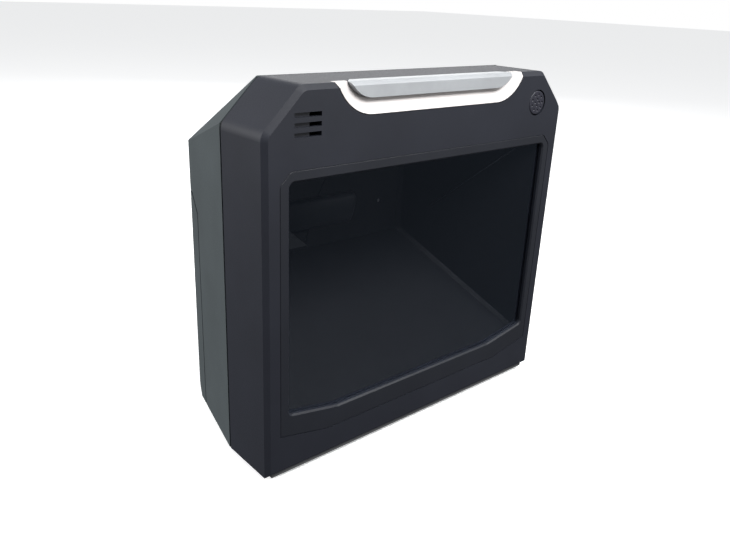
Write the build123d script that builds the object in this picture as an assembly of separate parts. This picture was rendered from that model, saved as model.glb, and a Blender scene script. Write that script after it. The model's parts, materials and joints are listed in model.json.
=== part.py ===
from build123d import *
import os

# Hands-free presentation scanner: a tall window in a two-piece case.
# Built with the front face at Y = 0 and the case bottom at Z = 0.
# save() then moves everything so the origin is the middle of the footprint, at the feet.

# ---- case ----
WIDTH = 150.0
HEIGHT = 138.4
FRONT_DEPTH = 25.2
CASE_DEPTH = 71.4
CORNER_CUT = 14.4
EDGE_BEVEL = 1.7
WALL = 2.4
SEAM_GAP = 0.8
REAR_WIDTH = 128.0
REAR_HEIGHT = 109.0
REAR_FOOT_START = 65.6
REAR_FOOT_RISE = 19.4
REAR_ROUND = 5.0
HUMP_HALF = 46.0
HUMP_BOTTOM = 30.0
HUMP_TOP = 87.0
HUMP_DEPTH = 8.4
HUMP_DRAFT = 4.0
HUMP_ROUND = 2.5

# ---- window ----
WINDOW_HALF = 65.3
WINDOW_TOP = 108.4
WINDOW_BOTTOM = 19.8
WINDOW_FLAT_HALF = 43.0
WINDOW_SIDE_BOTTOM = 23.8
BEZEL_HALF = 69.0
BEZEL_TOP = 112.0
BEZEL_BOTTOM = 11.6
BEZEL_SIDE_BOTTOM = 16.0
BEZEL_THICK = 1.75
BEZEL_CORNER = 4.2
GLASS_THICK = 1.2
GLASS_LAP = 0.8
GASKET_WIDTH = 1.5
FRAME_DEPTH = 3.6
BACK_GAP = 0.7

# ---- scanning tunnel ----
TUNNEL_BACK = 58.0
TUNNEL_WALL = 1.5
TUNNEL_CORNER = 1.6
THROAT_HALF = 38.0
THROAT_BOTTOM = 60.2
THROAT_TOP = 101.0
ENGINE_Z = 75.5
ENGINE_SIZE = (22.0, 11.5, 12.5)
ENGINE_FRONT = 61.0
EAR_X = 25.0
AIMER_X = 6.2
ILLUM_SPOTS = [-8.9, -5.2]

# ---- light bar and trim at the top ----
TRIM_BOTTOM = 127.65
TRIM_FLAT_HALF = 31.5
TRIM_RADIUS = 16.4
TRIM_WIDTH = 5.35
TRIM_SLOPE_DEPTH = 3.0
TRIM_THICK = 4.4
BAR_BACK = 6.5

# ---- button and vents ----
BUTTON_X = 57.6
BUTTON_Z = 125.9
BUTTON_HOLE_R = 5.25
BUTTON_CAP_R = 4.85
VENT_LEFT = -63.7
VENT_LENGTH = 10.5
VENT_HEIGHT = 1.5
VENT_PITCH = 3.1
VENT_TOP = 130.1

# ---- base ----
BASE_THICK = 1.2
FOOT_DROP = 2.0
FOOT_R = 6.0
FOOT_SPOTS = [(-58.0, 12.0), (58.0, 12.0), (-50.0, 54.0), (50.0, 54.0)]
FRONT_SCREWS = [(-40.0, 13.0), (40.0, 13.0)]
REAR_SCREWS = [(-40.0, 62.2), (40.0, 62.2)]
STAND_SPOTS = [(-24.0, 36.0), (24.0, 36.0)]
STAND_THREAD_R = 2.0

# ---- boards ----
BOARD_THICK = 1.6
MAIN_Z = 9.0
MAIN_SPOTS = [(-28.0, 30.0), (28.0, 30.0), (-28.0, 50.0), (28.0, 50.0)]
TOP_BOARD_Y = 13.0
TOP_SPOTS = [-44.0, 0.0, 63.0]
TOP_SPOT_Z = 116.0
LED_SPOTS = [-28.0, -14.0, 0.0, 14.0, 28.0]
LED_Z = 134.6
JACK_Z = MAIN_Z + BOARD_THICK
CONTACTS = [-4.5, -3.5, -2.5, -1.5, -0.5, 0.5, 1.5, 2.5, 3.5, 4.5]


def slab(face, front, depth):
    """Outline drawn in X and Z, thickened backwards from the front distance."""
    return Pos(0, front, 0) * extrude(Plane.XZ * face, depth, dir=(0, 1, 0))


def column(face, height):
    """Outline drawn from above, raised from Z = 0."""
    return extrude(face, height, dir=(0, 0, 1))


def across(face):
    """Outline drawn from the side in Y and Z, carried through the whole width."""
    return Pos(-100, 0, 0) * extrude(Plane.YZ * face, 200, dir=(1, 0, 0))


def polygon(points):
    return make_face(Polyline(*points, close=True))


def block(x0, x1, y0, y1, z0, z1):
    centre = Pos((x0 + x1) / 2, (y0 + y1) / 2, (z0 + z1) / 2)
    return centre * Box(x1 - x0, y1 - y0, z1 - z0)


def rod(x, y, z, radius, length):
    """Upright cylinder standing on height z."""
    return Pos(x, y, z + length / 2) * Cylinder(radius, length)


def pin(x, front, z, radius, depth):
    """Cylinder lying front to back."""
    return Pos(x, front + depth / 2, z) * Rot(90, 0, 0) * Cylinder(radius, depth)


def group(pieces):
    """Separate solids kept together as one part."""
    return Compound([solid for piece in pieces for solid in piece.solids()])


def save(name, shape):
    moved = Pos(0, -(CASE_DEPTH + HUMP_DEPTH) / 2, BASE_THICK + FOOT_DROP) * shape
    export_step(moved, f"parts/{name}.step")


def case_points(half, top, cut, bottom=0.0):
    return [
        (-half, bottom), (half, bottom), (half, top - cut),
        (half - cut, top), (cut - half, top), (-half, top - cut),
    ]


def round_top(face, radius):
    low = face.vertices().group_by(Axis.Y)[0]
    upper = [v for v in face.vertices() if v not in low]
    return fillet(upper, radius)


def window_face(grow):
    half = WINDOW_HALF + grow
    low = WINDOW_BOTTOM - grow
    side = WINDOW_SIDE_BOTTOM - grow
    top = WINDOW_TOP + grow
    flat = WINDOW_FLAT_HALF
    face = polygon([(-half, side), (-flat, low), (flat, low), (half, side), (half, top), (-half, top)])
    return fillet(face.vertices().sort_by(Axis.X)[:2] + face.vertices().sort_by(Axis.X)[-2:], 2.0)


def bezel_face(grow):
    half = BEZEL_HALF + grow
    low = BEZEL_BOTTOM - grow
    side = BEZEL_SIDE_BOTTOM - grow
    top = BEZEL_TOP + grow
    cut = BEZEL_CORNER
    outline = [
        (-half, side), (-48, low), (48, low), (half, side),
        (half, top - cut), (half - cut, top), (cut - half, top), (-half, top - cut),
    ]
    face = polygon(outline)
    return fillet(face.vertices().sort_by(Axis.Y)[-4:], 2.5)


def dish_face(inset):
    """Region above the U-shaped trim line, open past the top of the case."""
    radius = TRIM_RADIUS - inset
    width = 2 * (TRIM_FLAT_HALF + radius)
    height = 40.0
    bottom = TRIM_BOTTOM + inset
    return Pos(0, bottom + height / 2) * RectangleRounded(width, height, radius)


def front_envelope():
    body = slab(round_top(polygon(case_points(WIDTH / 2, HEIGHT, CORNER_CUT)), 5.0), 0, FRONT_DEPTH)
    rim = body.edges().group_by(Axis.Y)[0]
    return chamfer(rim, EDGE_BEVEL)


def bar_plan(grow):
    """Outline of the light bar seen from above."""
    back = BAR_BACK + grow
    points = [
        (-42 - grow, -1), (-42 - grow, 1.6), (-37.5 - grow, back),
        (37.5 + grow, back), (42 + grow, 1.6), (42 + grow, -1),
    ]
    return column(polygon(points), 200)


def trim_slope():
    """Dished cut that gives the trim its inward sloping face."""
    outer = Pos(0, -0.01, 0) * (Plane.XZ * dish_face(0))
    inner = Pos(0, TRIM_SLOPE_DEPTH, 0) * (Plane.XZ * dish_face(TRIM_WIDTH))
    return loft([outer, inner], ruled=True)


def front_cover():
    body = front_envelope()
    hollow = slab(polygon(case_points(WIDTH / 2 - WALL, HEIGHT - WALL, CORNER_CUT - 1, WALL)), WALL, 40)
    hollow -= slab(dish_face(-2.2), WALL, BAR_BACK)
    hollow -= slab(bezel_face(2.0), 0, FRAME_DEPTH)
    body -= hollow
    body -= slab(bezel_face(0.15), -1, 1 + BEZEL_THICK)
    body -= slab(window_face(GLASS_LAP + GASKET_WIDTH + 0.1), BEZEL_THICK - 0.01, GLASS_THICK + 0.03)
    body -= slab(window_face(0), 0, 10)
    body -= slab(dish_face(-0.3), -1, 1 + TRIM_THICK)
    body -= slab(dish_face(TRIM_WIDTH - 0.15), -1, 12) & bar_plan(0.15)
    for index in range(3):
        top = VENT_TOP - index * VENT_PITCH
        body -= block(VENT_LEFT, VENT_LEFT + VENT_LENGTH, -1, 1.2, top - VENT_HEIGHT, top)
        body -= block(VENT_LEFT + 6.5, VENT_LEFT + VENT_LENGTH, -1, 5, top - VENT_HEIGHT, top)
    body -= pin(BUTTON_X, -1, BUTTON_Z, BUTTON_HOLE_R, 8)
    for x in LED_SPOTS:
        body -= pin(x, 5, LED_Z, 1.3, 6)
    for x, y in FRONT_SCREWS:
        body += rod(x, y, 0.5, 4.0, 10.5)
        body -= rod(x, y, -1, 1.35, 10)
    for x in TOP_SPOTS:
        body += block(x - 3, x + 3, 1.5, TOP_BOARD_Y - 0.02, 114.5, 118.5)
        body -= pin(x, 7, TOP_SPOT_Z, 0.9, 8)
    return body


def window_bezel():
    ring = slab(bezel_face(0), 0, BEZEL_THICK) - slab(window_face(0), -1, 4)
    front = ring.faces().sort_by(Axis.Y)[0]
    ring = chamfer(front.outer_wire().edges(), 0.15)
    front = ring.faces().sort_by(Axis.Y)[0]
    return chamfer(front.inner_wires()[0].edges(), 0.6)


def window_glass():
    return slab(window_face(GLASS_LAP), BEZEL_THICK, GLASS_THICK)


def window_gasket():
    """Soft seal that holds the glass round its edge."""
    seal = slab(window_face(GLASS_LAP + GASKET_WIDTH), BEZEL_THICK, GLASS_THICK)
    return seal - slab(window_face(GLASS_LAP + 0.05), BEZEL_THICK - 1, GLASS_THICK + 2)


def funnel_points(half, low, top, grow):
    """Rectangle with its corners cut, the start or the end of the tunnel."""
    half, low, top = half + grow, low - grow, top + grow
    cut = TUNNEL_CORNER
    return [
        (cut - half, low), (half - cut, low), (half, low + cut), (half, top - cut),
        (half - cut, top), (cut - half, top), (-half, top - cut), (-half, low + cut),
    ]


def tunnel_loft(grow, front, back):
    mouth = funnel_points(WINDOW_HALF - 0.1, WINDOW_BOTTOM + 0.1, WINDOW_TOP - 0.1, grow)
    throat = funnel_points(THROAT_HALF, THROAT_BOTTOM, THROAT_TOP, grow)
    near = Pos(0, front, 0) * (Plane.XZ * polygon(mouth))
    far = Pos(0, back, 0) * (Plane.XZ * polygon(throat))
    return loft([near, far], ruled=True)


def engine_opening():
    """Tapered hole in the tunnel's rear wall that the scan engine looks through."""
    low = THROAT_BOTTOM + 1.0
    points = [(-17, low), (17, low), (13, 78), (6.5, 89.5), (-6.5, 89.5), (-13, 78)]
    return slab(polygon(points), TUNNEL_BACK - 2, 8)


def tunnel_shroud():
    front = FRAME_DEPTH
    shell = tunnel_loft(TUNNEL_WALL, front, TUNNEL_BACK + TUNNEL_WALL)
    inside = tunnel_loft(0, front - 0.01, TUNNEL_BACK)
    rear = inside.faces().sort_by(Axis.Y)[-1]
    uprights = [edge for edge in rear.edges() if abs(edge.center().X) > THROAT_HALF - 0.1]
    shell -= chamfer(uprights, TUNNEL_CORNER)
    shell -= engine_opening()
    for side in (-1, 1):
        shell -= pin(side * EAR_X, TUNNEL_BACK - 1, ENGINE_Z, 0.9, 4)
    return shell


def accent_trim():
    band = slab(dish_face(0), 0, TRIM_THICK) - slab(dish_face(TRIM_WIDTH), -1, 10)
    band &= front_envelope()
    return band - trim_slope()


def light_bar():
    bar = slab(dish_face(TRIM_WIDTH), 0.4, 12) & bar_plan(0) & front_envelope()
    top = bar.faces().sort_by(Axis.Z)[-1]
    front_edge = top.edges().sort_by(Axis.Y)[0]
    return chamfer(front_edge, 0.7)


def top_board():
    board = block(-66, 67, TOP_BOARD_Y, TOP_BOARD_Y + BOARD_THICK, 113.5, 124)
    board += block(-46, 46, TOP_BOARD_Y, TOP_BOARD_Y + BOARD_THICK, 120, 135.8)
    board += block(52, 65, TOP_BOARD_Y, TOP_BOARD_Y + BOARD_THICK, 120, 130)
    for x in TOP_SPOTS:
        board -= pin(x, 10, TOP_SPOT_Z, 1.1, 8)
    return board


def status_leds():
    leds = []
    for x in LED_SPOTS:
        body = block(x - 1.6, x + 1.6, TOP_BOARD_Y - 1.2, TOP_BOARD_Y, LED_Z - 1.6, LED_Z + 1.1)
        leds.append(body + pin(x, TOP_BOARD_Y - 3.2, LED_Z, 0.9, 2.4))
    return group(leds)


def top_screws():
    return group([back_screw(x, TOP_SPOT_Z, TOP_BOARD_Y + BOARD_THICK) for x in TOP_SPOTS])


def back_screw(x, z, seat):
    """Small pan screw driven forwards from the seat plane."""
    head = pin(x, seat, z, 1.9, 1.2)
    head -= pin(x, seat + 0.6, z, 0.7, 1.0)
    return head + pin(x, seat - 5.5, z, 0.85, 5.6)


def button_cap():
    cap = pin(BUTTON_X, 0.1, BUTTON_Z, BUTTON_CAP_R, 7.4)
    rim = cap.edges().group_by(Axis.Y)[0]
    cap = fillet(rim, 0.5)
    cap += pin(BUTTON_X, WALL + 0.3, BUTTON_Z, BUTTON_HOLE_R + 1.0, 1.0)
    for count, radius in ((4, 1.3), (9, 3.2)):
        for spot in PolarLocations(radius, count):
            x = BUTTON_X + spot.position.X
            z = BUTTON_Z + spot.position.Y
            cap -= Pos(x, -0.15, z) * Sphere(0.62)
    return cap


def switch_body():
    body = block(BUTTON_X - 3, BUTTON_X + 3, 9.4, TOP_BOARD_Y, BUTTON_Z - 3, BUTTON_Z + 3)
    return body - pin(BUTTON_X, 9, BUTTON_Z, 1.75, 3.0)


def switch_plunger():
    return pin(BUTTON_X, 7.5, BUTTON_Z, 1.7, 3.4)


def beeper():
    case = pin(-55.0, 5.4, 120.5, 5.5, TOP_BOARD_Y - 5.4)
    return case - pin(-55.0, 5.0, 120.5, 1.2, 3)


def rear_plan(inset):
    """Seen from above: walls closing in towards a rounded rear."""
    half = WIDTH / 2 - inset
    back_half = REAR_WIDTH / 2 - inset
    back = CASE_DEPTH - inset
    front = FRONT_DEPTH + SEAM_GAP
    step = (WIDTH - REAR_WIDTH) / 2 / (CASE_DEPTH - front)
    ahead = half + step
    face = polygon([(-ahead, front - 1), (ahead, front - 1), (back_half, back), (-back_half, back)])
    rear = face.vertices().group_by(Axis.Y)[-1]
    return Pos(0, 0, -5) * column(fillet(rear, REAR_ROUND - inset * 0.6), 200)


def rear_profile(inset):
    """Seen from the side: a sloping top and a foot that tucks under the rear wall."""
    back = CASE_DEPTH - inset + 0.02
    front = FRONT_DEPTH + SEAM_GAP
    top = HEIGHT - inset
    rear_top = REAR_HEIGHT - inset
    low = inset
    foot = REAR_FOOT_START - inset * 0.5
    line = Polyline((foot, low), (front, low), (front, top), (back, rear_top), (back, REAR_FOOT_RISE))
    arc = ThreePointArc((back, REAR_FOOT_RISE), (back - 1.9, 9.0 + inset * 0.5), (foot, low))
    face = make_face([line, arc])
    corner = face.vertices().sort_by(lambda v: abs(v.X - back) + abs(v.Y - rear_top))[0]
    face = fillet(corner, REAR_ROUND - inset * 0.6)
    return across(face)


def corner_plane(side, inset):
    """Facet that carries the front corner cut back until it fades at the rear corner."""
    front = FRONT_DEPTH + SEAM_GAP
    top_point = Vector(side * (WIDTH / 2 - CORNER_CUT), front, HEIGHT)
    side_point = Vector(side * WIDTH / 2, front, HEIGHT - CORNER_CUT)
    rear_point = Vector(side * REAR_WIDTH / 2, CASE_DEPTH, REAR_HEIGHT)
    normal = (side_point - top_point).cross(rear_point - top_point).normalized()
    normal = normal if normal.Z > 0 else normal * -1
    return Plane(origin=top_point - normal * inset, z_dir=normal)


def rear_solid(inset):
    body = rear_plan(inset) & rear_profile(inset)
    for side in (-1, 1):
        body -= corner_plane(side, inset) * Pos(0, 0, 150) * Box(300, 300, 300)
    return body


def rear_shell():
    return rear_solid(0) - rear_solid(WALL)


def back_region(gap):
    """Space taken by the removable cover at the lower back."""
    low = 58.8 + gap
    points = [(low, -5), (low, 84 - gap), (low + 7, 91 - gap), (120, 91 - gap), (120, -5)]
    return across(polygon(points))


def tongue():
    """Lip on the rear housing that enters the front cover."""
    start = FRONT_DEPTH - 3.0
    outer = polygon(case_points(WIDTH / 2 - 2.6, HEIGHT - 2.6, CORNER_CUT - 1, 2.6))
    inner = polygon(case_points(WIDTH / 2 - 4.0, HEIGHT - 4.0, CORNER_CUT - 1, 4.0))
    depth = 5.2
    return slab(outer, start, depth) - slab(inner, start - 1, depth + 2)


def rear_housing():
    body = rear_shell() - back_region(0)
    body += tongue() & block(-100, 100, 20, 30, -5, 200)
    for x, y in MAIN_SPOTS:
        body += rod(x, y, 1.5, 3.0, MAIN_Z - 1.52)
        body -= rod(x, y, 4.0, 1.0, 10)
    for x, y in STAND_SPOTS:
        body += rod(x, y, 0.5, 4.4, 6.5)
        body -= rod(x, y, -1, 2.9, 7.2)
    return body


def hump(inset):
    """Raised middle of the rear cover that makes room for the scan engine."""
    half = HUMP_HALF - inset
    low = HUMP_BOTTOM + inset
    top = HUMP_TOP - inset
    start = CASE_DEPTH - WALL - 0.5
    centre = (low + top) / 2
    base = Rectangle(2 * half, top - low)
    crown = Rectangle(2 * (half - HUMP_DRAFT), top - low - 2 * HUMP_DRAFT)
    near = Pos(0, start, centre) * (Plane.XZ * base)
    far = Pos(0, CASE_DEPTH + HUMP_DEPTH - inset, centre) * (Plane.XZ * crown)
    body = loft([near, far], ruled=True)
    edges = body.edges().filter_by(lambda edge: edge.center().Y > start + 1)
    return fillet(edges, max(HUMP_ROUND - inset, 0.5))


def jack_hole():
    return block(-7.2, 7.2, 55, 90, JACK_Z - 0.2, JACK_Z + 12.2)


def back_cover():
    body = rear_shell() & back_region(BACK_GAP)
    body += hump(0) - block(-100, 100, 0, CASE_DEPTH - WALL + 0.3, 0, 200)
    body -= hump(WALL)
    for x, y in REAR_SCREWS:
        body += rod(x, y, 0.5, 3.0, 10)
        body -= rod(x, y, -1, 1.35, 10)
    return body - jack_hole()


def base_plate():
    points = [(-72, 1.6), (72, 1.6), (72, 24), (62, 64.8), (-62, 64.8), (-72, 24)]
    plate = Pos(0, 0, -BASE_THICK) * column(polygon(points), BASE_THICK)
    for x, y in FRONT_SCREWS + REAR_SCREWS:
        plate -= rod(x, y, -5, 1.6, 10)
    for x, y in STAND_SPOTS:
        plate -= rod(x, y, -5, 2.4, 10)
    return plate


def rubber_feet():
    feet = []
    for x, y in FOOT_SPOTS:
        foot = rod(x, y, -BASE_THICK - FOOT_DROP, FOOT_R, FOOT_DROP)
        feet.append(chamfer(foot.edges().group_by(Axis.Z)[0], 0.4))
    return group(feet)


def case_screws():
    screws = []
    for x, y in FRONT_SCREWS + REAR_SCREWS:
        head = rod(x, y, -BASE_THICK - 1.3, 2.4, 1.3)
        head -= rod(x, y, -BASE_THICK - 1.5, 0.9, 1.0)
        screws.append(head + rod(x, y, -BASE_THICK - 0.2, 1.3, 9.6))
    return group(screws)


def stand_inserts():
    inserts = []
    for x, y in STAND_SPOTS:
        sleeve = rod(x, y, 0.1, 2.85, 5.9) - rod(x, y, -1, STAND_THREAD_R, 10)
        inserts.append(sleeve)
    return group(inserts)


def main_board():
    board = block(-33, 33, 27, 58, MAIN_Z, MAIN_Z + BOARD_THICK)
    board += block(-8, 8, 57, 66, MAIN_Z, MAIN_Z + BOARD_THICK)
    for x, y in MAIN_SPOTS:
        board -= rod(x, y, 5, 1.2, 10)
    return board


def board_screws():
    screws = []
    for x, y in MAIN_SPOTS:
        head = rod(x, y, MAIN_Z + BOARD_THICK, 1.9, 1.2)
        head -= rod(x, y, MAIN_Z + BOARD_THICK + 0.6, 0.7, 1.0)
        screws.append(head + rod(x, y, 4.5, 0.95, MAIN_Z + BOARD_THICK - 4.4))
    return group(screws)


def processor():
    return block(-20, -8, 34, 46, JACK_Z, JACK_Z + 1.4)


def memory_chips():
    chips = [block(-3, 6, y, y + 6, JACK_Z, JACK_Z + 1.1) for y in (33.0, 42.0)]
    return group(chips)


def flex_connector():
    body = block(7.5, 14.5, 48.5, 51.8, JACK_Z, JACK_Z + 2.6)
    return body - block(8, 14, 49.85, 50.45, JACK_Z + 1.0, JACK_Z + 5)


def cable_socket():
    body = block(-7, 7, 54, 68.4, JACK_Z, JACK_Z + 12)
    body -= block(-5.9, 5.9, 56, 80, JACK_Z + 2.6, JACK_Z + 9.6)
    body -= block(-3.1, 3.1, 56, 80, JACK_Z + 1.2, JACK_Z + 2.7)
    return body


def socket_contacts():
    lines = [block(x - 0.25, x + 0.25, 56.5, 66, JACK_Z + 9.0, JACK_Z + 9.6) for x in CONTACTS]
    return group(lines)


def flex_cable():
    back = ENGINE_FRONT + ENGINE_SIZE[2] + 2.3
    drop = block(8.2, 13.8, 50.0, 50.3, JACK_Z + 1.0, 26.3)
    run = block(8.2, 13.8, 50.0, 66.3, 26.0, 26.3)
    rise = block(8.2, 13.8, 66.0, 66.3, 26.0, 56.3)
    step = block(8.2, 13.8, 66.0, back + 0.3, 56.0, 56.3)
    end = block(8.2, 13.8, back, back + 0.3, 56.0, ENGINE_Z + 3)
    return drop + run + rise + step + end


def engine_body():
    wide, tall, deep = ENGINE_SIZE
    front = ENGINE_FRONT
    body = block(-wide / 2, wide / 2, front, front + deep, ENGINE_Z - tall / 2, ENGINE_Z + tall / 2)
    body = chamfer(body.edges().filter_by(Axis.Y), 0.6)
    body -= pin(0, front - 1, ENGINE_Z, 3.3, 7)
    body -= pin(AIMER_X, front - 1, ENGINE_Z, 1.8, 4)
    for x in ILLUM_SPOTS:
        body -= pin(x, front - 1, ENGINE_Z, 1.6, 3)
    return body


def lens_barrel():
    front = ENGINE_FRONT - 0.8
    return pin(0, front, ENGINE_Z, 3.25, 6.7) - pin(0, front - 1, ENGINE_Z, 2.3, 2.2)


def lens():
    seat = ENGINE_FRONT + 0.4
    return pin(0, seat - 0.8, ENGINE_Z, 2.25, 0.78)


def aimer_lens():
    return pin(AIMER_X, ENGINE_FRONT - 0.3, ENGINE_Z, 1.75, 3.2)


def illumination_leds():
    return group([pin(x, ENGINE_FRONT - 0.2, ENGINE_Z, 1.55, 2.1) for x in ILLUM_SPOTS])


def engine_board():
    back = ENGINE_FRONT + ENGINE_SIZE[2]
    board = block(-14.5, 14.5, back, back + 1.0, ENGINE_Z - 5.5, ENGINE_Z + 5.5)
    return board + block(7.5, 14.5, back + 0.9, back + 2.28, ENGINE_Z - 3, ENGINE_Z + 3)


def engine_bracket():
    wide, tall, deep = ENGINE_SIZE
    seat = TUNNEL_BACK + TUNNEL_WALL
    low = ENGINE_Z - tall / 2
    body = block(-wide / 2 - 1.2, wide / 2 + 1.2, ENGINE_FRONT, ENGINE_FRONT + deep - 0.5, low - 1.2, low)
    for side in (-1, 1):
        inner = side * wide / 2
        outer = side * (wide / 2 + 1.2)
        low_x, high_x = min(inner, outer), max(inner, outer)
        body += block(low_x, high_x, seat, ENGINE_FRONT + deep - 0.5, low - 1.2, ENGINE_Z + 4)
        ear = sorted((outer, side * 29.0))
        body += block(ear[0], ear[1], seat, seat + 1.2, ENGINE_Z - 4, ENGINE_Z + 4)
        body -= pin(side * EAR_X, seat - 1, ENGINE_Z, 1.1, 4)
    return body


def engine_screws():
    seat = TUNNEL_BACK + TUNNEL_WALL + 1.2
    screws = []
    for side in (-1, 1):
        head = pin(side * EAR_X, seat, ENGINE_Z, 1.9, 1.2)
        head -= pin(side * EAR_X, seat + 0.6, ENGINE_Z, 0.7, 1.0)
        screws.append(head + pin(side * EAR_X, seat - 2.4, ENGINE_Z, 0.85, 2.5))
    return group(screws)


PARTS = [
    front_cover, window_bezel, window_glass, window_gasket, tunnel_shroud, accent_trim, light_bar,
    top_board, top_screws, status_leds, button_cap, switch_body, switch_plunger, beeper,
    engine_body, lens_barrel, lens, aimer_lens, illumination_leds, engine_board, engine_bracket,
    engine_screws, main_board, board_screws, processor, memory_chips, flex_connector, flex_cable,
    cable_socket, socket_contacts, rear_housing, back_cover, base_plate, rubber_feet, case_screws,
    stand_inserts,
]

os.makedirs("parts", exist_ok=True)
for part in PARTS:
    save(part.__name__, part())
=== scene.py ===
import bpy
import bmesh
import json
import random
from math import radians, sin, cos, pi
from mathutils import Matrix, Vector


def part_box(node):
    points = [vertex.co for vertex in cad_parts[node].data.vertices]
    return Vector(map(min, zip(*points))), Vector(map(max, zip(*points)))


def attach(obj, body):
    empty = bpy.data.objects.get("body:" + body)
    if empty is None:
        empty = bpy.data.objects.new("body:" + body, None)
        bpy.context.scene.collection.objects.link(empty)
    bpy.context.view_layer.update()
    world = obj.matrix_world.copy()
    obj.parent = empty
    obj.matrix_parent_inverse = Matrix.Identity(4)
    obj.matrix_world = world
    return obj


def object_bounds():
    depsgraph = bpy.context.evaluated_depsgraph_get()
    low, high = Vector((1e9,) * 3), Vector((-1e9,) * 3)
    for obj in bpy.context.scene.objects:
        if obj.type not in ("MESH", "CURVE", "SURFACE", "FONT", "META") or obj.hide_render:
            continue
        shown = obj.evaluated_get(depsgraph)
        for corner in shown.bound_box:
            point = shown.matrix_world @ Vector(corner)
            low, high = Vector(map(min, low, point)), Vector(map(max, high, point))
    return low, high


# Presentation scanner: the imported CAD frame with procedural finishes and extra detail.
# Everything is in metres in the row frame: X right, Y backwards, Z up, origin under the feet.

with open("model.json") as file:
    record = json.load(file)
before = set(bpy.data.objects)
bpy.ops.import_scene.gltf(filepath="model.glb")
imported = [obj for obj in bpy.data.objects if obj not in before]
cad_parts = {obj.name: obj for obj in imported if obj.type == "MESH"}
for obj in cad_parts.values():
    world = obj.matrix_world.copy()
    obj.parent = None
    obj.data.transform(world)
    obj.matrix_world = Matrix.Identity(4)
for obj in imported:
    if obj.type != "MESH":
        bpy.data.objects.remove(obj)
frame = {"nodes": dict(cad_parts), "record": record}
CAD_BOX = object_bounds()
MM = 0.001

# Sizes shared with the CAD model
TUNNEL_WALL = 1.5 * MM
FOOT_RADIUS = 6.0 * MM
REAR_FOOT_X = 50.0 * MM

scene = bpy.context.scene
scene.view_settings.view_transform = "Standard"
scene.view_settings.look = "None"


# ---- camera -------------------------------------------------------------------------------

CAMERA_AT = Vector((-0.19082, -0.22008, 0.16818))
CAMERA_YAW = radians(41.302)
CAMERA_PITCH = radians(21.165)
CAMERA_ROLL = radians(2.469)
CAMERA_LENS = 35.235


def make_camera():
    data = bpy.data.cameras.new("camera")
    data.lens = CAMERA_LENS
    data.sensor_width = 36.0
    data.clip_start = 0.01
    camera = bpy.data.objects.new("camera", data)
    ahead = Vector((
        sin(CAMERA_YAW) * cos(CAMERA_PITCH),
        cos(CAMERA_YAW) * cos(CAMERA_PITCH),
        -sin(CAMERA_PITCH),
    ))
    level = Vector((cos(CAMERA_YAW), -sin(CAMERA_YAW), 0.0))
    above = level.cross(ahead)
    right = level * cos(CAMERA_ROLL) + above * sin(CAMERA_ROLL)
    up = above * cos(CAMERA_ROLL) - level * sin(CAMERA_ROLL)
    turn = Matrix((right, up, -ahead)).transposed().to_4x4()
    camera.matrix_world = Matrix.Translation(CAMERA_AT) @ turn
    scene.collection.objects.link(camera)
    scene.camera = camera


make_camera()


# ---- light and floor ----------------------------------------------------------------------

WORLD_LOW = 0.12
WORLD_HIGH = 0.6
WORLD_TINT = (0.97, 0.985, 1.0, 1.0)
WHITE = (1.0, 1.0, 1.0, 1.0)
FLOOR_HALF = 6.0
FLOOR_DROP = 0.2 * MM
FLOOR_COLOUR = (0.95, 0.95, 0.95, 1.0)
FLOOR_GLOW = 0.35


def area_light(name, at, target, size, power):
    data = bpy.data.lights.new(name, "AREA")
    data.shape = "RECTANGLE"
    data.size = size[0]
    data.size_y = size[1]
    data.energy = power
    light = bpy.data.objects.new(name, data)
    light.location = at
    light.rotation_euler = (Vector(target) - Vector(at)).to_track_quat("-Z", "Y").to_euler()
    scene.collection.objects.link(light)


def make_world():
    """Soft studio: bright overhead, dim near the floor, plain white behind the object."""
    world = bpy.data.worlds.new("studio")
    scene.world = world
    world.use_nodes = True
    tree = world.node_tree
    nodes = tree.nodes
    lit = nodes["Background"]
    coords = nodes.new("ShaderNodeTexCoord")
    split = nodes.new("ShaderNodeSeparateXYZ")
    tree.links.new(coords.outputs["Generated"], split.inputs["Vector"])
    glow = spread(tree, split.outputs["Z"], WORLD_LOW, WORLD_HIGH, -0.15, 0.75)
    tree.links.new(glow, lit.inputs["Strength"])
    lit.inputs["Color"].default_value = WORLD_TINT
    plain_white = nodes.new("ShaderNodeBackground")
    path = nodes.new("ShaderNodeLightPath")
    mix = nodes.new("ShaderNodeMixShader")
    tree.links.new(path.outputs["Is Camera Ray"], mix.inputs["Fac"])
    tree.links.new(lit.outputs["Background"], mix.inputs[1])
    tree.links.new(plain_white.outputs["Background"], mix.inputs[2])
    plain_white.inputs["Color"].default_value = WHITE
    tree.links.new(mix.outputs["Shader"], nodes["World Output"].inputs["Surface"])


def make_floor():
    mesh = bpy.data.meshes.new("floor")
    form = bmesh.new()
    bmesh.ops.create_grid(form, x_segments=1, y_segments=1, size=FLOOR_HALF)
    form.to_mesh(mesh)
    form.free()
    floor = bpy.data.objects.new("floor", mesh)
    floor.location.z = CAD_BOX[0][2] - FLOOR_DROP
    scene.collection.objects.link(floor)
    material, shader, tree = new_material("floor_white")
    shader.inputs["Base Color"].default_value = FLOOR_COLOUR
    shader.inputs["Roughness"].default_value = 0.85
    shader.inputs["Emission Color"].default_value = WHITE
    shader.inputs["Emission Strength"].default_value = FLOOR_GLOW
    floor.visible_diffuse = False
    floor.visible_glossy = False
    mesh.materials.append(material)


# ---- materials ----------------------------------------------------------------------------

def new_material(name):
    material = bpy.data.materials.new(name)
    material.use_nodes = True
    tree = material.node_tree
    return material, tree.nodes["Principled BSDF"], tree


def object_coords(tree):
    return tree.nodes.new("ShaderNodeTexCoord").outputs["Object"]


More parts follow.
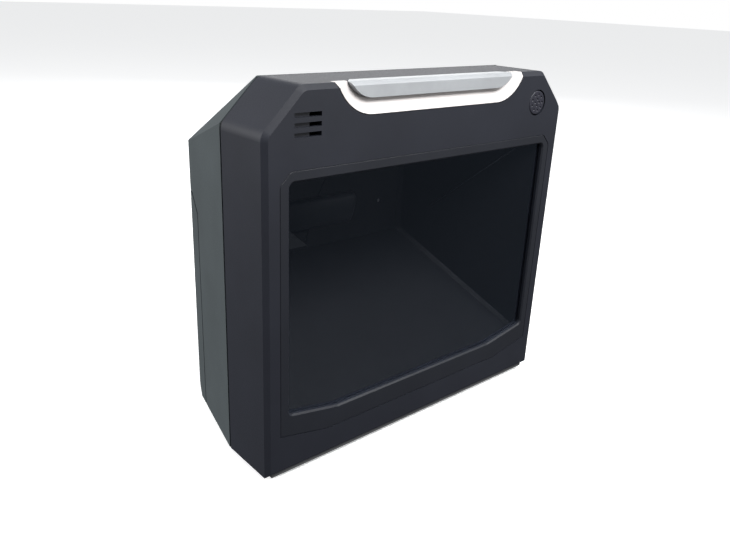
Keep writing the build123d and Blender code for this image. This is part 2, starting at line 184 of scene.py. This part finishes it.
def noise(tree, coords, size, detail=3.0, rough=0.6):
    node = tree.nodes.new("ShaderNodeTexNoise")
    node.inputs["Scale"].default_value = 1.0 / size
    node.inputs["Detail"].default_value = detail
    node.inputs["Roughness"].default_value = rough
    tree.links.new(coords, node.inputs["Vector"])
    return node.outputs["Fac"]


def spread(tree, value, low, high, start=0.3, end=0.7):
    node = tree.nodes.new("ShaderNodeMapRange")
    node.inputs["From Min"].default_value = start
    node.inputs["From Max"].default_value = end
    node.inputs["To Min"].default_value = low
    node.inputs["To Max"].default_value = high
    tree.links.new(value, node.inputs["Value"])
    return node.outputs["Result"]


def colour_between(tree, value, first, second):
    node = tree.nodes.new("ShaderNodeMix")
    node.data_type = "RGBA"
    node.inputs[6].default_value = (*first, 1.0)
    node.inputs[7].default_value = (*second, 1.0)
    tree.links.new(value, node.inputs[0])
    return node.outputs[2]


def bump(tree, shader, height, strength, distance):
    node = tree.nodes.new("ShaderNodeBump")
    node.inputs["Strength"].default_value = strength
    node.inputs["Distance"].default_value = distance
    tree.links.new(height, node.inputs["Height"])
    tree.links.new(node.outputs["Normal"], shader.inputs["Normal"])


def tint(colour, factor):
    return tuple(min(1.0, channel * factor) for channel in colour)


PLASTIC_GLOSS = 0.28
PLASTIC_GRAIN = 0.35 * MM
PLASTIC_DEPTH = 0.05 * MM
PLASTIC_VARIATION = 0.10
METAL_GRAIN = 0.4 * MM
TRIM_GRAIN = 0.25 * MM
FINE_DEPTH = 0.02 * MM
GLASS_IOR = 1.7
GLASS_TINT = (0.60, 0.75, 1.0, 1.0)
GLASS_ROUGH = 0.02


def mottle(tree, coords, size, first, second):
    """Colour that drifts between two tones over patches of a size."""
    patches = noise(tree, coords, size)
    return colour_between(tree, spread(tree, patches, 0.0, 1.0), first, second)


def moulded_plastic(name, colour, rough=0.5, gloss=PLASTIC_GLOSS):
    """Plastic with the fine etched grain of a mould and slight uneven sheen."""
    material, shader, tree = new_material(name)
    coords = object_coords(tree)
    dark, pale = tint(colour, 1 - PLASTIC_VARIATION), tint(colour, 1 + PLASTIC_VARIATION)
    fine = noise(tree, coords, PLASTIC_GRAIN, 2.0, 0.5)
    tree.links.new(mottle(tree, coords, 0.03, dark, pale), shader.inputs["Base Color"])
    tree.links.new(spread(tree, fine, rough - 0.06, rough + 0.06), shader.inputs["Roughness"])
    bump(tree, shader, fine, 0.5, PLASTIC_DEPTH)
    shader.inputs["Specular IOR Level"].default_value = gloss
    return material


def metal(name, colour, rough=0.3):
    """Bare or plated metal with a fine uneven polish."""
    material, shader, tree = new_material(name)
    shader.inputs["Metallic"].default_value = 1.0
    coords = object_coords(tree)
    fine = noise(tree, coords, METAL_GRAIN)
    mixed = mottle(tree, coords, 0.02, tint(colour, 0.93), tint(colour, 1.05))
    tree.links.new(mixed, shader.inputs["Base Color"])
    tree.links.new(spread(tree, fine, rough - 0.06, rough + 0.08), shader.inputs["Roughness"])
    bump(tree, shader, fine, 0.3, FINE_DEPTH)
    return material


def satin_trim(name, colour):
    """Pale trim with a fine satin surface."""
    material, shader, tree = new_material(name)
    shader.inputs["Metallic"].default_value = 0.05
    coords = object_coords(tree)
    fine = noise(tree, coords, TRIM_GRAIN, 2.0)
    mixed = mottle(tree, coords, 0.015, tint(colour, 0.96), colour)
    tree.links.new(mixed, shader.inputs["Base Color"])
    tree.links.new(spread(tree, fine, 0.42, 0.55), shader.inputs["Roughness"])
    bump(tree, shader, fine, 0.25, FINE_DEPTH)
    return material


def clear_glass(name, colour):
    """Clear pane with a faint blue coating: its outer side is glossier at a slant."""
    material, shader, tree = new_material(name)
    nodes = tree.nodes
    coords = object_coords(tree)
    smear = noise(tree, coords, 0.02)
    through = nodes.new("ShaderNodeBsdfTransparent")
    gloss = nodes.new("ShaderNodeBsdfGlossy")
    slant = nodes.new("ShaderNodeFresnel")
    mix = nodes.new("ShaderNodeMixShader")
    slant.inputs["IOR"].default_value = GLASS_IOR
    gloss.inputs["Color"].default_value = GLASS_TINT
    clouded = colour_between(tree, smear, tint(colour, 0.97), colour)
    tree.links.new(clouded, through.inputs["Color"])
    tree.links.new(spread(tree, smear, GLASS_ROUGH, GLASS_ROUGH + 0.03), gloss.inputs["Roughness"])
    outer = nodes.new("ShaderNodeMath")
    outer.operation = "SUBTRACT"
    outer.use_clamp = True
    tree.links.new(slant.outputs["Fac"], outer.inputs[0])
    tree.links.new(nodes.new("ShaderNodeNewGeometry").outputs["Backfacing"], outer.inputs[1])
    tree.links.new(outer.outputs["Value"], mix.inputs["Fac"])
    tree.links.new(through.outputs["BSDF"], mix.inputs[1])
    tree.links.new(gloss.outputs["BSDF"], mix.inputs[2])
    tree.links.new(mix.outputs["Shader"], nodes["Material Output"].inputs["Surface"])
    nodes.remove(shader)
    return material


def light_pipe(name, colour):
    """Milky grey plastic that scatters light inside."""
    material, shader, tree = new_material(name)
    coords = object_coords(tree)
    fine = noise(tree, coords, 0.5 * MM)
    mixed = mottle(tree, coords, 0.012, tint(colour, 0.93), tint(colour, 1.06))
    tree.links.new(mixed, shader.inputs["Base Color"])
    tree.links.new(spread(tree, fine, 0.32, 0.42), shader.inputs["Roughness"])
    shader.inputs["Subsurface Weight"].default_value = 0.25
    shader.inputs["Subsurface Radius"].default_value = (0.004, 0.004, 0.004)
    bump(tree, shader, fine, 0.2, 0.03 * MM)
    return material


def circuit_board(name):
    """Solder mask with faint copper tracks under it."""
    material, shader, tree = new_material(name)
    coords = object_coords(tree)
    tracks = tree.nodes.new("ShaderNodeTexBrick")
    tracks.inputs["Scale"].default_value = 160.0
    tracks.inputs["Color1"].default_value = (0.012, 0.10, 0.045, 1.0)
    tracks.inputs["Color2"].default_value = (0.016, 0.13, 0.058, 1.0)
    tracks.inputs["Mortar"].default_value = (0.03, 0.21, 0.09, 1.0)
    tree.links.new(coords, tracks.inputs["Vector"])
    tree.links.new(tracks.outputs["Color"], shader.inputs["Base Color"])
    fine = noise(tree, coords, 0.8 * MM)
    tree.links.new(spread(tree, fine, 0.25, 0.4), shader.inputs["Roughness"])
    bump(tree, shader, tracks.outputs["Fac"], 0.15, FINE_DEPTH)
    return material


CASE_FRONT = (0.0145, 0.016, 0.0225)
CASE_REAR = (0.050, 0.060, 0.064)


def make_materials():
    return {
        "case_front": moulded_plastic("case_front", CASE_FRONT, 0.48),
        "case_rear": moulded_plastic("case_rear", CASE_REAR, 0.55),
        "bezel": moulded_plastic("bezel", (0.012, 0.0135, 0.0185), 0.5),
        "window": clear_glass("window", (0.92, 0.93, 0.95)),
        "rubber_seal": moulded_plastic("rubber_seal", (0.018, 0.019, 0.025), 0.7),
        "tunnel": moulded_plastic("tunnel", (0.0048, 0.0050, 0.0062), 0.6, gloss=0.12),
        "trim": satin_trim("trim", (0.555, 0.525, 0.515)),
        "diffuser": light_pipe("diffuser", (0.30, 0.312, 0.325)),
        "circuit_board": circuit_board("circuit_board"),
        "steel_screw": metal("steel_screw", (0.14, 0.14, 0.145), 0.35),
        "led": light_pipe("led", (0.75, 0.75, 0.62)),
        "button": moulded_plastic("button", (0.019, 0.0195, 0.028), 0.45),
        "component_black": moulded_plastic("component_black", (0.006, 0.006, 0.0065), 0.7),
        "engine_metal": moulded_plastic("engine_metal", (0.02, 0.021, 0.024), 0.5, gloss=0.15),
        "bracket_steel": moulded_plastic("bracket_steel", (0.028, 0.029, 0.034), 0.45),
        "optic": clear_glass("optic", (0.6, 0.66, 0.8)),
        "connector": moulded_plastic("connector", (0.03, 0.031, 0.033), 0.5, gloss=0.15),
        "flex": moulded_plastic("flex", (0.42, 0.2, 0.04), 0.35),
        "contact_gold": metal("contact_gold", (0.85, 0.62, 0.25), 0.25),
        "base_steel": moulded_plastic("base_steel", (0.10, 0.103, 0.107), 0.5),
        "rubber_foot": moulded_plastic("rubber_foot", (0.014, 0.014, 0.015), 0.85),
        "brass_insert": metal("brass_insert", (0.78, 0.56, 0.25), 0.3),
    }


MATERIALS = make_materials()


SOFT_EDGED = {
    "front_cover": 0.25 * MM,
    "rear_housing": 0.35 * MM,
    "back_cover": 0.35 * MM,
    "base_plate": 0.2 * MM,
    "accent_trim": 0.15 * MM,
    "light_bar": 0.2 * MM,
}


def finish_cad_nodes():
    """Gives each CAD node its finish, and the outer ones a small rounded edge."""
    slots = {entry["node"]: entry["material_slot"] for entry in frame["record"]["subparts"]}
    for name, node in frame["nodes"].items():
        material = MATERIALS[slots[name]]
        node.data.materials.clear()
        node.data.materials.append(material)
        if name in SOFT_EDGED:
            add_bevel(node, SOFT_EDGED[name], 2)


# ---- shapes -------------------------------------------------------------------------------

def piece_from(form, name, slot, body="case", smooth=False):
    """Turns a bmesh into a piece that rides on a body."""
    bmesh.ops.recalc_face_normals(form, faces=form.faces)
    mesh = bpy.data.meshes.new(name)
    form.to_mesh(mesh)
    form.free()
    piece = bpy.data.objects.new(name, mesh)
    scene.collection.objects.link(piece)
    mesh.materials.append(MATERIALS[slot])
    if smooth:
        mesh.shade_smooth()
    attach(piece, body)
    return piece


BEVEL_ANGLE = radians(35)


def add_bevel(piece, width, segments=2):
    edge = piece.modifiers.new("edges", "BEVEL")
    edge.width = width
    edge.segments = segments
    edge.limit_method = "ANGLE"
    edge.angle_limit = BEVEL_ANGLE
    edge.harden_normals = True
    return piece


def add_block(form, low, high):
    """Box between two corners, added to a bmesh."""
    centre = (Vector(low) + Vector(high)) / 2
    size = Vector(high) - Vector(low)
    made = bmesh.ops.create_cube(form, size=1.0)
    bmesh.ops.scale(form, vec=size, verts=made["verts"])
    bmesh.ops.translate(form, vec=centre, verts=made["verts"])
    return made["verts"]


def add_cylinder(form, at, axis, radius, length, segments):
    """Cylinder centred on a point along an axis, added to a bmesh."""
    made = bmesh.ops.create_cone(
        form, cap_ends=True, segments=segments, radius1=radius, radius2=radius, depth=length)
    turn = Vector((0, 0, 1)).rotation_difference(Vector(axis)).to_matrix()
    bmesh.ops.rotate(form, matrix=turn, verts=made["verts"])
    bmesh.ops.translate(form, vec=at, verts=made["verts"])


def add_plate(form, outline, centre, front, back):
    """Flat outline in X and Z given a thickness from front to back."""
    near = [form.verts.new((centre[0] + x, front, centre[1] + z)) for x, z in outline]
    far = [form.verts.new((centre[0] + x, back, centre[1] + z)) for x, z in outline]
    form.faces.new(near)
    form.faces.new(far)
    for index in range(len(outline)):
        after = (index + 1) % len(outline)
        form.faces.new((near[index], near[after], far[after], far[index]))


# ---- detail inside the tunnel -------------------------------------------------------------

PANEL_FOOT = 42.4 * MM
PANEL_LIFT = 0.45 * MM
PANEL_THICK = 1.2 * MM
PANEL_OUTLINE = [
    (-17.4, -0.6), (17.4, -0.6), (13.3, 17.0), (6.8, 29.0), (-6.8, 29.0), (-13.3, 17.0),
]


def scaled(outline):
    return [(x * MM, z * MM) for x, z in outline]


def engine_panel():
    """Low raised panel that covers the scan engine's opening in the tunnel's rear wall."""
    low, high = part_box("tunnel_shroud")
    front = high.y - TUNNEL_WALL - PANEL_LIFT
    form = bmesh.new()
    add_plate(form, scaled(PANEL_OUTLINE), (0, low.z + PANEL_FOOT), front, front + PANEL_THICK)
    return add_bevel(piece_from(form, "engine_panel", "tunnel"), 0.15 * MM)


HOOD_PROFILE = [
    (0.0, 4.6), (-2.2, 4.3), (-3.1, 3.4), (-3.4, 2.0), (-3.3, 0.0),
    (-2.8, -2.6), (-2.0, -5.4), (-1.0, -8.2), (0.0, -10.2),
]
HOOD_END = [(0.0, 1.0), (0.9, 0.95), (1.5, 0.84), (1.9, 0.66), (2.05, 0.4)]
HOOD_LEFT = -34.0 * MM
HOOD_SHOULDER = 7.3 * MM
HOOD_MIDDLE = 81.2 * MM


def engine_hood():
    """Smoked cover over the scan engine, full at the top and running out to the wall below."""
    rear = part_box("tunnel_shroud")[1].y - TUNNEL_WALL
    stations = [(HOOD_LEFT, 1.0)] + [(HOOD_SHOULDER + out * MM, share) for out, share in HOOD_END]
    form = bmesh.new()
    rings = []
    for x, share in stations:
        points = [(rear + y * share * MM, HOOD_MIDDLE + z * share * MM) for y, z in HOOD_PROFILE]
        rings.append([form.verts.new((x, y, z)) for y, z in points])
    for near, far in zip(rings, rings[1:]):
        for index in range(len(near)):
            after = (index + 1) % len(near)
            form.faces.new((near[index], far[index], far[after], near[after]))
    form.faces.new(rings[0])
    form.faces.new(rings[-1])
    return piece_from(form, "engine_hood", "engine_metal", smooth=True)


RIB_TOP = (11.8 * MM, 80.9 * MM)
RIB_FOOT = (15.9 * MM, 64.5 * MM)
RIB_RADIUS = 0.22 * MM


def panel_rib_highlight():
    """Thin raised rib beside the engine panel, leaning with the panel's edge, in a plastic lighter
    than the wall: a painted highlight along the rib.
    """
    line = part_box("tunnel_shroud")[1].y - TUNNEL_WALL - 0.15 * MM
    form = bmesh.new()
    ends = [Vector((x, line, z)) for x, z in (RIB_TOP, RIB_FOOT)]
    add_bar(form, ends[0], ends[1], RIB_RADIUS)
    # Lighter plastic than the tunnel wall: painted highlight along the rib
    return piece_from(form, "panel_rib_highlight", "engine_metal", smooth=True)


LIT_PATCH_OUTLINE = [(-31.0, 77.7), (-31.0, 64.8), (-16.3, 64.8)]


def lit_patch_web():
    """Three-cornered web in the lower left corner of the rear wall, in a plastic lighter than the
    tunnel: painted light standing in for a lit patch with a diagonal shadow edge.
    """
    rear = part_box("tunnel_shroud")[1].y - TUNNEL_WALL
    form = bmesh.new()
    add_plate(form, scaled(LIT_PATCH_OUTLINE), (0, 0), rear - 0.9 * MM, rear + 0.3 * MM)
    # Lighter plastic than the tunnel wall: painted light on the web
    return add_bevel(piece_from(form, "lit_patch_web", "connector"), 0.2 * MM)


def add_bar(form, start, end, radius):
    """Round bar between two points, added to a bmesh."""
    run = end - start
    add_cylinder(form, (start + end) / 2, run.normalized(), radius, run.length, 10)


RIDGE_FRONT = Vector((61.4, -28.5, 107.8)) * MM
RIDGE_REAR = Vector((45.0, 4.2, 76.8)) * MM
RIDGE_LIFT = Vector((-0.894, -0.447, 0.0)) * 0.12 * MM
RIDGE_RADIUS = 0.3 * MM


def tunnel_ridge_highlights():
    """Fine parting ridge that runs back and down along each side wall of the tunnel, made in a
    plastic lighter than the tunnel walls: a painted highlight along the ridge.
    """
    form = bmesh.new()
    for side in (1, -1):
        ends = [point + RIDGE_LIFT for point in (RIDGE_FRONT, RIDGE_REAR)]
        for point in ends:
            point.x *= side
        add_bar(form, ends[0], ends[1], RIDGE_RADIUS)
    # Lighter plastic than the walls: painted highlight along each ridge
    return piece_from(form, "tunnel_ridge_highlights", "bracket_steel", smooth=True)


def strip_loop(form, points, front, back, depth):
    """Band that follows a closed outline of (x, z) points, set in by a depth."""
    middle_x = sum(x for x, z in points) / len(points)
    middle_z = sum(z for x, z in points) / len(points)
    rings = []
    for y in (front, back):
        for inward in (0.0, depth):
            ring = []
            for x, z in points:
                toward = Vector((middle_x - x, 0, middle_z - z)).normalized()
                ring.append(form.verts.new(Vector((x, y, z)) + toward * inward))
            rings.append(ring)
    order = (rings[0], rings[1], rings[3], rings[2])
    count = len(points)
    for first, second in zip(order, order[1:] + order[:1]):
        for index in range(count):
            after = (index + 1) % count
            form.faces.new((first[index], first[after], second[after], second[index]))


# Size of the dark strip painted into the seam as its shadow
SEAM_SHADE_INSET = 0.45 * MM
SEAM_SHADE_CUT = 14.0 * MM
SEAM_SHADE_WIDTH = 0.78 * MM
SEAM_SHADE_DEPTH = 1.4 * MM


def seam_shade_strip():
    """Dark strip lying low in the joint between the front cover and the rear housing: painted
    shade standing in for the shadow in the seam's gap.
    """
    low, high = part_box("front_cover")
    half = high.x - SEAM_SHADE_INSET
    top = high.z - SEAM_SHADE_INSET
    bottom = low.z + SEAM_SHADE_INSET
    points = [
        (-half, bottom), (half, bottom), (half, top - SEAM_SHADE_CUT),
        (half - SEAM_SHADE_CUT, top), (SEAM_SHADE_CUT - half, top), (-half, top - SEAM_SHADE_CUT),
    ]
    form = bmesh.new()
    strip_loop(form, points, high.y - 0.02 * MM, high.y + SEAM_SHADE_WIDTH, SEAM_SHADE_DEPTH)
    return piece_from(form, "seam_painted_shade", "component_black")


# ---- detail on the boards and underneath --------------------------------------------------

BOARD_NEIGHBOURS = ("processor", "memory_chips", "flex_connector", "flex_cable", "cable_socket")
CHIP_SIZES = ((1.6, 0.8, 0.5), (0.8, 1.6, 0.5), (3.0, 3.0, 0.9), (4.2, 2.4, 1.0))
CHIP_COUNT = 26
CHIP_GAP = 0.6 * MM


def board_parts():
    """Small chips, resistors and capacitors on the main board."""
    low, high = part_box("main_board")
    taken = [box_spot(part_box(node)) for node in BOARD_NEIGHBOURS]
    chance = random.Random(7)
    form = bmesh.new()
    placed = []
    while len(placed) < CHIP_COUNT:
        size = chance.choice(CHIP_SIZES)
        half = Vector(size) * MM / 2
        x = chance.uniform(low.x + 9 * MM, high.x - 9 * MM)
        y = chance.uniform(low.y + 4 * MM, low.y + 26 * MM)
        spot = (x - half.x, x + half.x, y - half.y, y + half.y)
        if any(overlaps(spot, other) for other in taken + placed):
            continue
        placed.append(spot)
        foot, top = high.z - 0.01 * MM, high.z + 2 * half.z
        add_block(form, (spot[0], spot[2], foot), (spot[1], spot[3], top))
    return add_bevel(piece_from(form, "board_parts", "component_black"), 0.08 * MM)


def box_spot(box):
    """Ground plan of a box as (x, x, y, y)."""
    low, high = box
    return (low.x, high.x, low.y, high.y)


def overlaps(first, second):
    """Whether two (x, x, y, y) spots come nearer than the gap between chips."""
    apart_x = first[1] + CHIP_GAP < second[0] or second[1] + CHIP_GAP < first[0]
    apart_y = first[3] + CHIP_GAP < second[2] or second[3] + CHIP_GAP < first[2]
    return not (apart_x or apart_y)


TOOTH_COUNT = 24
TOOTH_HALF = 0.22 * MM


def insert_knurls():
    """Small teeth in a ring at the lower end of each brass stand insert."""
    low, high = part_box("stand_inserts")
    radius = (high.y - low.y) / 2
    form = bmesh.new()
    for x in (low.x + radius, high.x - radius):
        centre = Vector((x, (low.y + high.y) / 2, low.z + 0.05 * MM))
        ring_of_blocks(form, centre, radius - 0.35 * MM, TOOTH_COUNT, TOOTH_HALF)
    return piece_from(form, "insert_knurls", "brass_insert")


def ring_of_blocks(form, centre, radius, count, half):
    for index in range(count):
        angle = 2 * pi * index / count
        at = centre + Vector((radius * cos(angle), radius * sin(angle), 0))
        made = add_block(form, at - Vector((half, half, half)), at + Vector((half, half, half)))
        turn = Matrix.Rotation(angle, 3, "Z")
        bmesh.ops.rotate(form, matrix=turn, cent=at, verts=made)


def foot_rings():
    """Ring inside each rubber foot, just above its sole, where the foot's face covers it."""
    low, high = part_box("rubber_feet")
    front = (high.x - FOOT_RADIUS, low.y + FOOT_RADIUS)
    rear = (REAR_FOOT_X, high.y - FOOT_RADIUS)
    form = bmesh.new()
    for half, y in (front, rear):
        for x in (-half, half):
            centre = Vector((x, y, low.z + 0.25 * MM))
            torus_ring(form, centre, FOOT_RADIUS * 0.62, 0.22 * MM)
    return piece_from(form, "foot_rings", "rubber_foot", smooth=True)


RING_STEPS = 40
TUBE_STEPS = 8


def torus_ring(form, centre, radius, thick):
    """Closed round ring lying flat, added to a bmesh."""
    rings = []
    for index in range(RING_STEPS):
        angle = 2 * pi * index / RING_STEPS
        out = Vector((cos(angle), sin(angle), 0))
        ring = []
        for step in range(TUBE_STEPS):
            turn = 2 * pi * step / TUBE_STEPS
            at = centre + out * (radius + thick * cos(turn)) + Vector((0, 0, thick * sin(turn)))
            ring.append(form.verts.new(at))
        rings.append(ring)
    for index in range(RING_STEPS):
        near, far = rings[index], rings[(index + 1) % RING_STEPS]
        for step in range(TUBE_STEPS):
            after = (step + 1) % TUBE_STEPS
            form.faces.new((near[step], far[step], far[after], near[after]))


# ---- building the scene -------------------------------------------------------------------

finish_cad_nodes()
engine_panel()
engine_hood()
panel_rib_highlight()
lit_patch_web()
tunnel_ridge_highlights()
seam_shade_strip()
board_parts()
insert_knurls()
foot_rings()
make_world()
make_floor()
area_light("key", (0.06, -0.32, 0.46), (0.0, -0.04, 0.13), (0.50, 0.22), 4.4)
area_light("front", (0.40, -0.85, 0.25), (0, 0, 0.07), (0.5, 0.4), 1.9)
area_light("side", (-0.80, 0.34, 0.40), (0, 0.02, 0.10), (0.4, 0.5), 10.3)
area_light("back", (0.65, 0.75, 0.42), (0, 0, 0.12), (0.6, 0.4), 1.3)
